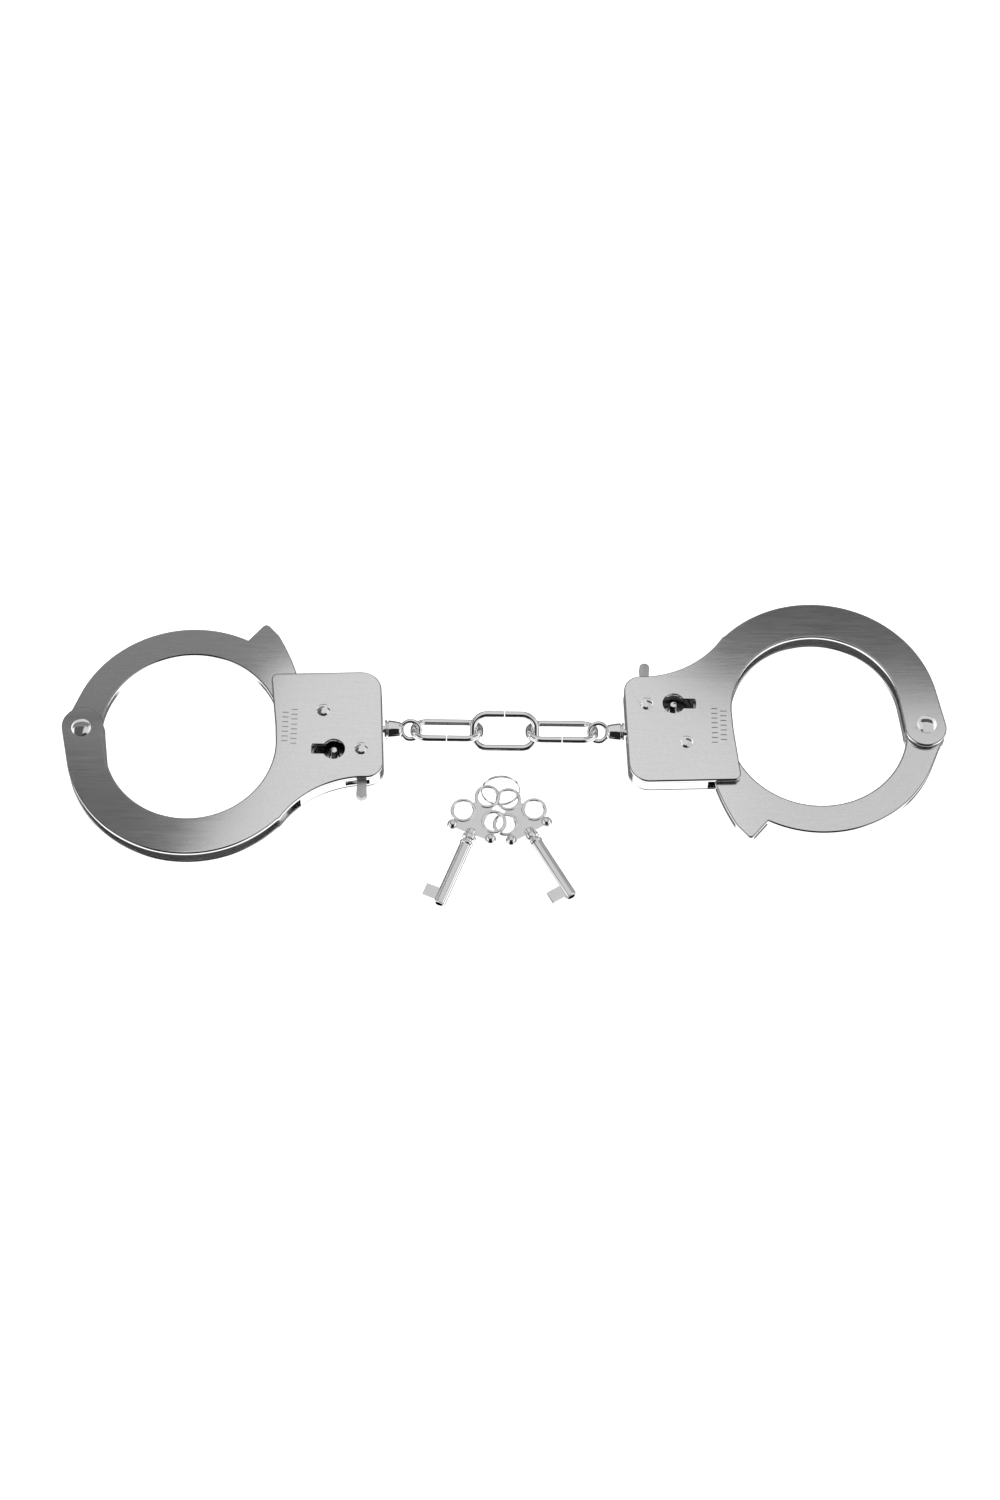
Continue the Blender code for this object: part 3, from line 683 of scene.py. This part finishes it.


def metal(name, colour, roughness, brush, grain, depth, tint=0.03, haze=0.03, face_roughness=None):
    """A metal with a stretched and an even grain.

    brush is the stretched grain's frequency on each axis and grain that of the even grain (per metre),
    depth their height (metres).  tint is how far the grain changes the colour, haze a broad cloudiness
    of the polish.  With a face roughness the flat faces are satin, only the edges keep the first
    roughness, and the rolled band between face and edge gets painted shade: its colour is darkened.
    """
    mat = bpy.data.materials.new(name)
    mat.use_nodes = True
    tree = mat.node_tree
    shader = tree.nodes["Principled BSDF"]
    shader.inputs["Metallic"].default_value = 1.0
    where = tree.nodes.new("ShaderNodeTexCoord")
    stretched = put(tree, "ShaderNodeMapping", [("Vector", where.outputs["Object"])], Scale=brush)
    lines = put(tree, "ShaderNodeTexNoise", [("Vector", stretched.outputs["Vector"])], Scale=1.0, Detail=3.0)
    even = put(tree, "ShaderNodeTexNoise", [("Vector", where.outputs["Object"])], Scale=grain, Detail=2.0)
    cloud = put(tree, "ShaderNodeTexNoise", [("Vector", where.outputs["Object"])], Scale=60.0, Detail=3.0)
    relief = maths(tree, "ADD", lines.outputs["Fac"], even.outputs["Fac"])

    shade = remap(tree, relief, 0.7, 1.3, 1.0 - tint, 1.0 + tint)
    rough = remap(tree, cloud.outputs["Fac"], 0.3, 0.7, roughness, roughness + haze)
    strength = None
    if face_roughness:
        facing = put(tree, "ShaderNodeSeparateXYZ", [("Vector", where.outputs["Normal"])])
        flat = maths(tree, "ABSOLUTE", facing.outputs["Z"])
        strength = remap(tree, flat, 0.85, 0.99, 0.1, 1.0)
        extra = remap(tree, flat, 0.85, 0.99, 0.0, face_roughness - roughness)
        streaks = remap(tree, lines.outputs["Fac"], 0.3, 0.7, 0.8, 1.2)
        rough = maths(tree, "ADD", rough, maths(tree, "MULTIPLY", extra, streaks))
        # painted shade: the base colour is darkened on the rolled band between flat face and edge
        shoulder_painted_shade = maths(tree, "MAXIMUM", remap(tree, flat, 0.95, 0.99, PAINTED_SHOULDER_SHADE, 1.0),
                         remap(tree, flat, 0.7, 0.55, PAINTED_SHOULDER_SHADE, 1.0))
        shade = maths(tree, "MULTIPLY", shade, shoulder_painted_shade)
    paint = put(tree, "ShaderNodeVectorMath", operation="SCALE")
    paint.inputs[0].default_value = colour
    tree.links.new(shade, paint.inputs["Scale"])
    tree.links.new(paint.outputs["Vector"], shader.inputs["Base Color"])
    tree.links.new(rough, shader.inputs["Roughness"])
    bump = put(tree, "ShaderNodeBump", [("Height", relief)], Distance=depth)
    if strength:
        tree.links.new(strength, bump.inputs["Strength"])
    tree.links.new(bump.outputs["Normal"], shader.inputs["Normal"])
    return mat


def make_metals():
    satin = metal("satin_nickel_brushed", colour=(0.80, 0.80, 0.805), roughness=0.06,
                  brush=(110, 2600, 2600), grain=1700.0, depth=2.2e-6, tint=0.045, face_roughness=0.19)
    polished = metal("polished_nickel", colour=(0.80, 0.80, 0.795), roughness=0.08,
                     brush=(700, 900, 900), grain=500.0, depth=3e-7, tint=0.01)
    chain = metal("bright_chain_nickel", colour=(0.78, 0.78, 0.78), roughness=0.02,
                  brush=(300, 500, 500), grain=400.0, depth=6e-7, tint=0.01, haze=0.01)
    key = metal("bright_key_nickel", colour=(0.72, 0.72, 0.72), roughness=0.05,
                brush=(500, 700, 700), grain=500.0, depth=6e-7, tint=0.015)
    steel = metal("bare_inner_steel", colour=(0.50, 0.50, 0.51), roughness=0.35,
                  brush=(900, 1500, 1500), grain=900.0, depth=1.5e-6, tint=0.08, haze=0.08)
    return {"satin": satin, "polished": polished, "chain": chain, "key": key, "steel": steel}


# ---------------------------------------------------------------- the cuff


def cheek_holes():
    return [hole(PAWL_RIVET, RIVET_HOLE_R), hole(BODY_RIVET, RIVET_HOLE_R), hole((0, 0), PIVOT_HOLE_R)]


def stamp_cutter():
    """Two rows of plain dashes, sunk into the top cheek beside the wrist opening."""
    dashes = []
    for (x, y), widths in zip(STAMP_ROWS, STAMP_WIDTHS):
        for width in widths:
            punch = [(-width, width), (0, -width), (width, width)]
            bm = extruded(punch, [], -STAMP_LENGTH / 2, STAMP_LENGTH / 2)
            stand = turn(90, "Y") @ turn(90, "Z")
            dashes.append(moved(bm, shift(x, y - width / 2, FACE_Z + width - STAMP_DEPTH) @ stand))
            y -= width + STAMP_SPACE
    return merged(*dashes)


def make_cheeks(side, place, metals):
    body = side + "_cuff"
    holes = cheek_holes()
    top = rounded_plate(cheek_outline(), holes + [keyhole_outline()], TOP_Z, FACE_Z, EDGE_ROUND, HOLE_ROUND)
    piece(side + "_top_cheek_plate", top, metals["satin"], place, body, side + "_top_cheek",
          cuts=[stamp_cutter()])
    bottom = rounded_plate(cheek_outline(), holes + [hole(KEYHOLE, POST_HOLE_R)], FOOT, BOTTOM_Z,
                           EDGE_ROUND, HOLE_ROUND)
    piece(side + "_bottom_cheek_plate", bottom, metals["satin"], place, body, side + "_bottom_cheek")


def make_lock_frame(side, place, metals):
    """The strip between the cheeks, with a window for the pawl's tab and a hole for the swivel."""
    strip = extruded(frame_outline(), [], BOTTOM_Z + CLEARANCE, TOP_Z - CLEARANCE)
    half = PAWL_T / 2 + PLAY
    window = box(*TAB_SLOT_X, *TAB_SLOT_Y, MID_Z - half, MID_Z + half)
    end = SWIVEL_HOLE_HALF
    drill = moved(lathe([(0, end), (SWIVEL_HOLE_R, end), (SWIVEL_HOLE_R, -end), (0, -end)]),
                  shift(SWIVEL_HOLE_X, SWIVEL_Y, MID_Z) @ turn(90, "Y"))
    piece(side + "_lock_frame_strip", strip, metals["polished"], place, side + "_cuff",
          side + "_lock_frame", cuts=[window, drill])


def toothed(point):
    """Whether a point of the arm's outline is on the ratchet, whose teeth stay crisp."""
    angle = math.degrees(math.atan2(point[1], point[0]))
    return math.hypot(*point) > ARM_TIP_R - 1.5 and ARM_TAIL_DEG + 1 < angle < TOOTH_FIRST_DEG + 1


def make_arm(side, place, metals):
    arm = rounded_plate(arm_outline(), [hole((0, 0), ARM_HOLE_R)], MID_Z - ARM_T / 2, MID_Z + ARM_T / 2,
                        ARM_ROUND, HOLE_ROUND, toothed)
    piece(side + "_arm_strand", arm, metals["satin"], place, side + "_arm", side + "_swing_arm")


def dome(head_r, height, z, steps=10):
    """Profile of a rivet's domed head, from its top to its rim."""
    swell = height - RIVET_RIM
    ball_r = (head_r ** 2 + swell ** 2) / (2 * swell)
    top = z + height
    points = []
    for i in range(steps + 1):
        a = math.asin(head_r / ball_r) * i / steps
        points.append((ball_r * math.sin(a), top - ball_r * (1 - math.cos(a))))
    points[0] = (0, top)
    return points + [(head_r + 0.02, z + RIVET_RIM * 0.6), (head_r, z + 0.01)]


def make_rivets(side, place, metals):
    """Rivets with a domed head above and a flat, upset head below."""
    for name, centre, shank, head, height in RIVETS:
        profile = dome(head, height, FACE_Z) + [(shank, FACE_Z + 0.01), (shank, FOOT - CLEARANCE)]
        profile += [(head * 0.84, FOOT - CLEARANCE), (head * 0.86, 0.12), (head * 0.78, 0.0), (0, 0.0)]
        bm = moved(lathe(profile), shift(*centre, 0))
        piece(f"{side}_{name}_turned", bm, metals["polished"], place, side + "_cuff", f"{side}_{name}")


def make_inner_parts(side, place, metals):
    body = side + "_cuff"
    top = FACE_Z - 0.7
    profile = [(0, top), (POST_R - 0.35, top), (POST_R - 0.1, top - 0.12), (POST_R, top - 0.4)]
    profile += [(POST_R, BOTTOM_Z + 0.6), (1.7, BOTTOM_Z + 0.58), (1.8, BOTTOM_Z + 0.5)]
    profile += [(1.8, BOTTOM_Z + CLEARANCE), (POST_R, BOTTOM_Z + CLEARANCE), (POST_R, FOOT), (0, FOOT)]
    piece(side + "_key_post_turned", moved(lathe(profile), shift(*KEYHOLE, 0)), metals["polished"], place,
          body, side + "_key_post")
    pawl = rounded_plate(pawl_outline(), [hole(PAWL_RIVET, PAWL_HOLE_R)], MID_Z - PAWL_T / 2,
                         MID_Z + PAWL_T / 2, PAWL_ROUND, HOLE_ROUND)
    piece(side + "_pawl_plate", pawl, metals["steel"], place, side + "_pawl", side + "_pawl")
    wire = tube(spring_path(), SPRING_WIRE_R, 14, False, 0.05)
    piece(side + "_pawl_spring_wire", wire, metals["steel"], place, body, side + "_pawl_spring")


def spring_path():
    """Coil round the body rivet, with one leg on the end wall and one on the pawl's tab."""
    x, y = BODY_RIVET
    low = MID_Z - SPRING_HALF_H
    high = MID_Z + SPRING_HALF_H
    path = [(*point, high) for point in SPRING_WALL_LEG]
    steps = int(SPRING_TURNS * 30)
    for i in range(steps + 1):
        a = math.radians(SPRING_START_DEG - 360 * SPRING_TURNS * i / steps)
        z = high - (high - low) * i / steps
        path.append((x + SPRING_R * math.cos(a), y + SPRING_R * math.sin(a), z))
    return path + [(*point, low) for point in SPRING_TAB_LEG]


def make_swivel(side, place, metals):
    """Turned stem with a bell towards the eye, a neck and a flange against the lock frame."""
    turned_part = SWIVEL_BELL + SWIVEL_FLANGE + SWIVEL_STEM
    profile = [(0, turned_part[0][1]), *turned_part, (0, turned_part[-1][1])]
    axis = shift(0, SWIVEL_Y, MID_Z) @ turn(90, "Y")
    tilt = EYE_TILT if side == "left" else -EYE_TILT
    ring = [(x, y, 0) for x, y in hole((0, 0), EYE_R, 80)]
    eye = moved(tube(ring, EYE_WIRE_R, 24, True), shift(EYE_X, SWIVEL_Y, MID_Z) @ turn(tilt, "X"))
    piece(side + "_swivel_turned", moved(lathe(profile), axis), metals["chain"], place, side + "_swivel",
          side + "_swivel", unions=[eye])


def make_cuff(side, place, metals):
    make_cheeks(side, place, metals)
    make_lock_frame(side, place, metals)
    make_arm(side, place, metals)
    make_rivets(side, place, metals)
    make_inner_parts(side, place, metals)
    make_swivel(side, place, metals)


# ---------------------------------------------------------------- chain, keys and ring


def link_path(half, gap_side):
    """Centre line of a bent link, from one side of its butt joint round to the other."""
    x = half - LINK_CORNER
    y = LINK_WIDTH / 2 - LINK_CORNER
    corners = arc(x, -y, LINK_CORNER, 270, 360, 16) + arc(x, y, LINK_CORNER, 0, 90, 16)
    corners += arc(-x, y, LINK_CORNER, 90, 180, 16) + arc(-x, -y, LINK_CORNER, 180, 270, 16)
    edge = -LINK_WIDTH / 2
    near = 0.1
    path = [(LINK_GAP, edge), (LINK_GAP + near, edge), (x * 0.5, edge)] + corners
    path += [(-x * 0.5, edge), (-LINK_GAP - near, edge), (-LINK_GAP, edge)]
    return [(px, py * gap_side, 0) for px, py in path]


def make_link(name, x, half, tilt, gap_side, metals):
    place = Matrix.Translation((x * MM, CHAIN_Y * MM, MID_Z * MM)) @ turn(tilt, "X")
    piece(name + "_wire", tube(link_path(half, gap_side), LINK_WIRE_R, 28, False, WIRE_END_ROUND),
          metals["chain"], place, name, name)


def rim_profile():
    """Rounded section of a lobe's raised rim."""
    middle = (LOBE_IN + LOBE_OUT) / 2
    half_w = (LOBE_OUT - LOBE_IN) / 2
    half_h = LOBE_H / 2
    section = []
    for i in range(24):
        c, s = polar(1.0, 360 * i / 24)
        section.append((middle + half_w * math.copysign(abs(c) ** RIM_SQUARE, c),
                        half_h * math.copysign(abs(s) ** RIM_SQUARE, s)))
    return section


def make_key(side, where, metals):
    """Barrel key: a web with three rimmed lobes and two balls, a bored shank and a square bit."""
    x, y, z, spin, rise = where
    place = Matrix.Translation((x * MM, (CHAIN_Y + y) * MM, z * MM)) @ turn(spin, "Z") @ turn(rise, "X")
    web = extruded(web_outline(), [], -WEB_T / 2, WEB_T / 2)
    eyes = [extruded(hole(lobe, LOBE_IN + 0.3), [], -LOBE_H, LOBE_H) for lobe in KEY_LOBES]
    rims = [moved(lathe_ring(rim_profile()), shift(*lobe, 0)) for lobe in KEY_LOBES]
    balls = [moved(ball(KEY_BALL_R), shift(bx, 0, 0)) for bx in (-KEY_BALL_X, KEY_BALL_X)]
    profile = [*KEY_COLLAR, (KEY_SHANK_R, KEY_TIP_V + 0.15), (KEY_SHANK_R - 0.15, KEY_TIP_V)]
    profile += [(KEY_BORE_R + 0.1, KEY_TIP_V), (KEY_BORE_R, KEY_TIP_V + 0.1)]
    profile += [(KEY_BORE_R, KEY_TIP_V + KEY_BORE_DEPTH), (0, KEY_TIP_V + KEY_BORE_DEPTH)]
    shank = moved(lathe(profile), turn(-90, "X"))
    bit = box(-KEY_BIT_REACH, -KEY_SHANK_R + 0.3, *KEY_BIT_V, -KEY_BIT_T / 2, KEY_BIT_T / 2)
    bmesh.ops.bevel(bit, geom=bit.edges, offset=KEY_BIT_ROUND, segments=2, affect="EDGES", profile=0.5)
    key = make_object(side + "_key_bow", web, place)
    bevel(key, WEB_ROUND)
    for eye in eyes:
        combine(key, eye, "DIFFERENCE")
    for extra in rims + balls + [shank, bit]:
        combine(key, extra, "UNION")
    finish_piece(key, metals["key"], side + "_key", side + "_key")


def ball(r, steps=36, rows=20):
    angles = [math.pi / 2 - math.pi * i / rows for i in range(rows + 1)]
    profile = [(r * math.cos(a), r * math.sin(a)) for a in angles]
    profile[0] = (0, r)
    profile[-1] = (0, -r)
    return lathe(profile, steps)


def make_key_ring(metals):
    """Split ring: two turns of wire side by side, each end stepping over to the other turn."""
    x, y, z = RING_CENTRE
    place = Matrix.Translation((x * MM, (CHAIN_Y + y) * MM, z * MM))
    place = place @ turn(RING_TILT[0], "X") @ turn(-RING_TILT[1], "Y")
    steps = 160
    path = []
    for i in range(steps + 1):
        t = i / steps
        a = 2 * math.pi * RING_TURNS * t
        step_over = max(-1.0, min(1.0, (t - 0.5) / RING_STEP))
        path.append((RING_R * math.cos(a), RING_R * math.sin(a), RING_WIRE_R * RING_SPREAD * step_over))
    piece("key_ring_wire", tube(path, RING_WIRE_R, 14, False, 0.04), metals["chain"], place, "key_ring",
          "key_ring")


# ---------------------------------------------------------------- studio and camera

VIEW_ELEVATION = 62.0
VIEW_DISTANCE = 950.0                # millimetres
VIEW_ROLL = 0.73
PICTURE_SPAN = 1500 / 3.2            # millimetres of the object's plane that the picture's height holds
AIM = (-1.3, 2.48)                   # the point of the floor that is looked at

BRIGHT = 0.79                        # glow of the ceiling, which the flat faces mirror
WHITE = 1.5                          # glow of the floor in reflections
BLACK = 0.02                         # glow of the dark sector behind the viewer
ASIDE = 1.8                          # how much brighter the room is to the left and right
BEYOND = 0.12                        # how much of its glow the floor beyond the object keeps
# grey screens over the faces: glow, height, and what they darken on the plane of the faces
SCREENS = (
    (0.115, 150.0, ((-99, -60), (-92, -31), (-79, 3), (-100, 8), (-128, 8), (-230, 8), (-230, -130),
                    (-105, -130))),
    (0.235, 80.0, ((-79, 3), (-76, 24), (-70, 31), (-54, 34), (-45, 90), (-230, 90), (-230, 8),
                   (-100, 8))),
    (0.10, 150.0, ((52, 34), (66, 25), (84, 20), (110, 18), (134, 19), (160, 17), (230, 17),
                   (230, 130), (42, 130))),
    (0.70, 150.0, ((78, 4), (230, -4), (230, -130), (70, -130))),
)


FLOOR_HALF = 3.0                     # metres, like the next two
FLOOR_Z = -0.0002
BACKDROP_R = 6.0
FLOOR_GLOW = 0.9


def view_axes():
    e = math.radians(VIEW_ELEVATION)
    ahead = Vector((0, math.cos(e), -math.sin(e)))
    up = Vector((0, math.sin(e), math.cos(e)))
    return ahead, up


def view_point():
    ahead, _ = view_axes()
    return Vector((*AIM, 0)) - ahead * VIEW_DISTANCE


def make_camera():
    ahead, up = view_axes()
    data = bpy.data.cameras.new("camera")
    data.sensor_fit = "VERTICAL"
    data.sensor_width, data.sensor_height = 24.0, 36.0
    data.lens = data.sensor_height * VIEW_DISTANCE / PICTURE_SPAN
    data.clip_start = 0.05
    data.clip_end = 20.0
    camera = bpy.data.objects.new("camera", data)
    bpy.context.scene.collection.objects.link(camera)
    axes = Matrix((ahead.cross(up), up, -ahead)).transposed().to_4x4()
    camera.matrix_world = Matrix.Translation(view_point() * MM) @ axes @ turn(VIEW_ROLL, "Z")
    bpy.context.scene.camera = camera


def glow(name, strength):
    """A material that shines evenly."""
    mat = bpy.data.materials.new(name)
    mat.use_nodes = True
    tree = mat.node_tree
    tree.nodes.remove(tree.nodes["Principled BSDF"])
    light = put(tree, "ShaderNodeEmission", Strength=strength)
    tree.links.new(light.outputs["Emission"], tree.nodes["Material Output"].inputs["Surface"])
    return mat


def screen(name, corners, strength):
    """A card that only reflections see."""
    bm = bmesh.new()
    bm.faces.new([bm.verts.new(Vector(corner) * MM) for corner in corners])
    mesh = bpy.data.meshes.new(name)
    bm.to_mesh(mesh)
    bm.free()
    card = bpy.data.objects.new(name, mesh)
    bpy.context.scene.collection.objects.link(card)
    mesh.materials.append(glow(name, strength))
    card.visible_camera = False
    card.visible_diffuse = False
    card.visible_shadow = False


def mirrored(point, height):
    """Where the view ray that the point of a flat face mirrors passes the given height."""
    eye = view_point()
    face = Vector((*point, FACE_Z))
    ray = face - eye
    return face + Vector((ray.x, ray.y, -ray.z)) * ((height - FACE_Z) / -ray.z)


def make_floor():
    """Pale seamless floor, mostly self-lit so that shadows stay faint."""
    bm = bmesh.new()
    bmesh.ops.create_grid(bm, x_segments=1, y_segments=1, size=FLOOR_HALF)
    mesh = bpy.data.meshes.new("floor")
    bm.to_mesh(mesh)
    bm.free()
    floor = bpy.data.objects.new("floor", mesh)
    bpy.context.scene.collection.objects.link(floor)
    floor.location.z = FLOOR_Z
    mat = bpy.data.materials.new("floor")
    mat.use_nodes = True
    shader = mat.node_tree.nodes["Principled BSDF"]
    shader.inputs["Base Color"].default_value = (0.9, 0.9, 0.9, 1)
    shader.inputs["Roughness"].default_value = 1.0
    shader.inputs["Specular IOR Level"].default_value = 0.0
    shader.inputs["Emission Color"].default_value = (1, 1, 1, 1)
    shader.inputs["Emission Strength"].default_value = FLOOR_GLOW
    mesh.materials.append(mat)
    floor.visible_glossy = False


def make_backdrop():
    """White shell round the set, which only the camera sees."""
    bm = bmesh.new()
    bmesh.ops.create_icosphere(bm, subdivisions=4, radius=BACKDROP_R)
    mesh = bpy.data.meshes.new("backdrop")
    bm.to_mesh(mesh)
    bm.free()
    shell = bpy.data.objects.new("backdrop", mesh)
    bpy.context.scene.collection.objects.link(shell)
    mesh.materials.append(glow("backdrop", 1.0))
    shell.visible_glossy = False
    shell.visible_diffuse = False
    shell.visible_shadow = False


def greys(tree, height, stops):
    """Brightness against the height of a direction, from -1 to 1; stops are (height, brightness)."""
    stops = [((z + 1) / 2, grey) for z, grey in stops]
    ramp = put(tree, "ShaderNodeFloatCurve", [("Value", remap(tree, height, -1.0, 1.0, 0.0, 1.0))])
    curve = ramp.mapping.curves[0]
    for point, (position, grey) in zip(curve.points, (stops[0], stops[-1])):
        point.location = (position, grey)
    for position, grey in stops[1:-1]:
        curve.points.new(position, grey)
    for point in curve.points:
        point.handle_type = "VECTOR"
    ramp.mapping.update()
    return ramp.outputs["Value"]


def make_world():
    """A bright room seen only in reflections: dark at the horizon, behind the viewer and on the far floor.

    x, y and z are the parts of a direction, each from -1 to 1.
    """
    world = bpy.data.worlds.new("studio")
    bpy.context.scene.world = world
    world.use_nodes = True
    tree = world.node_tree
    where = tree.nodes.new("ShaderNodeTexCoord")
    split = put(tree, "ShaderNodeSeparateXYZ", [("Vector", where.outputs["Generated"])])
    x, y, z = split.outputs
    across = maths(tree, "ABSOLUTE", x)
    room = greys(tree, z, ((-1, 1), (-0.14, 1), (-0.1, 0.15), (0.1, 0.15), (0.16, BRIGHT), (1, BRIGHT)))
    viewer = greys(tree, z, ((-1, 1), (-0.55, 1), (-0.45, BLACK), (0.93, BLACK), (0.985, BRIGHT),
                             (1, BRIGHT)))
    near = remap(tree, y, -0.12, -0.2, 0.0, 1.0)
    narrow = remap(tree, across, 0.45, 0.6, 1.0, 0.0)
    sector = maths(tree, "MULTIPLY", near, narrow)
    change = maths(tree, "MULTIPLY", maths(tree, "SUBTRACT", viewer, room), sector)
    aside = remap(tree, across, 0.5, 0.8, 1.0, ASIDE)
    boost = maths(tree, "MAXIMUM", remap(tree, z, -0.1, -0.45, 1.0, WHITE), aside)
    far = remap(tree, y, 0.05, 0.15, 0.0, 1.0)
    low = remap(tree, z, -0.1, -0.2, 0.0, 1.0)
    beyond = remap(tree, maths(tree, "MULTIPLY", far, low), 0.0, 1.0, 1.0, BEYOND)
    boost = maths(tree, "MULTIPLY", boost, beyond)
    total = maths(tree, "MULTIPLY", maths(tree, "ADD", room, change), boost)
    tree.links.new(total, tree.nodes["Background"].inputs["Strength"])
    tree.nodes["Background"].inputs["Color"].default_value = (1, 1, 1, 1)


def make_lights():
    for number, (strength, height, corners) in enumerate(SCREENS):
        screen(f"screen_{number}", [mirrored(corner, height) for corner in corners], strength)


def main():
    metals = make_metals()
    left = Matrix.Translation((-PIVOT_X * MM, (CHAIN_Y - SWIVEL_Y) * MM, 0))
    right = Matrix.Translation((PIVOT_X * MM, (CHAIN_Y + SWIVEL_Y) * MM, 0)) @ turn(180, "Z")
    make_cuff("left", left, metals)
    make_cuff("right", right, metals)
    make_link("left_link", -SIDE_LINK_X, SIDE_LINK_HALF, SIDE_LINK_TILT, 1, metals)
    make_link("centre_link", 0.0, CENTRE_LINK_HALF, CENTRE_LINK_TILT, -1, metals)
    make_link("right_link", SIDE_LINK_X, SIDE_LINK_HALF, SIDE_LINK_TILT, 1, metals)
    make_key("left", LEFT_KEY, metals)
    make_key("right", RIGHT_KEY, metals)
    make_key_ring(metals)
    make_floor()
    make_backdrop()
    make_world()
    make_lights()
    make_camera()
    bpy.context.scene.view_settings.view_transform = "Standard"


main()
